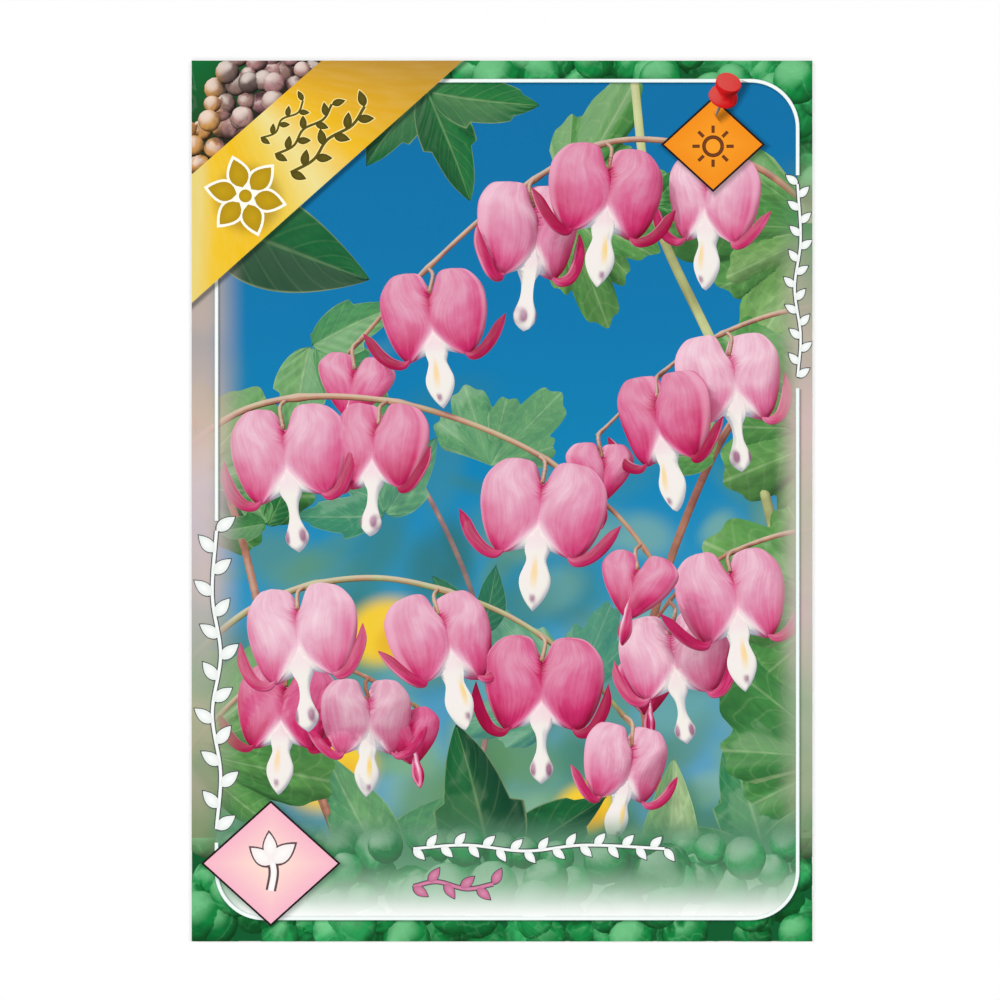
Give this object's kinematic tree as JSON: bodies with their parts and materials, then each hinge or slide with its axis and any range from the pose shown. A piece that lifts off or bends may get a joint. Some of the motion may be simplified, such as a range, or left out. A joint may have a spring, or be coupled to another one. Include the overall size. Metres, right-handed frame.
{
  "type": "printed plant picture card",
  "caption": "Flat rectangular paperboard card for a bleeding heart plant pack, with a glossy picture of pink heart flowers on the front and a plain back.",
  "frame": {"origin": "middle of the card's back face, on the surface that it lies on", "axes": "+X across the card to the picture's right, +Y up the picture, +Z out of the printed front"},
  "size_m": [0.105, 0.149, 0.0005],
  "materials": {
    "printed_board": "offset picture under gloss film on the front, white board at the cut edges and back"
  },
  "bodies": {
    "root": {"card": "printed_board"}
  },
  "joints": []
}
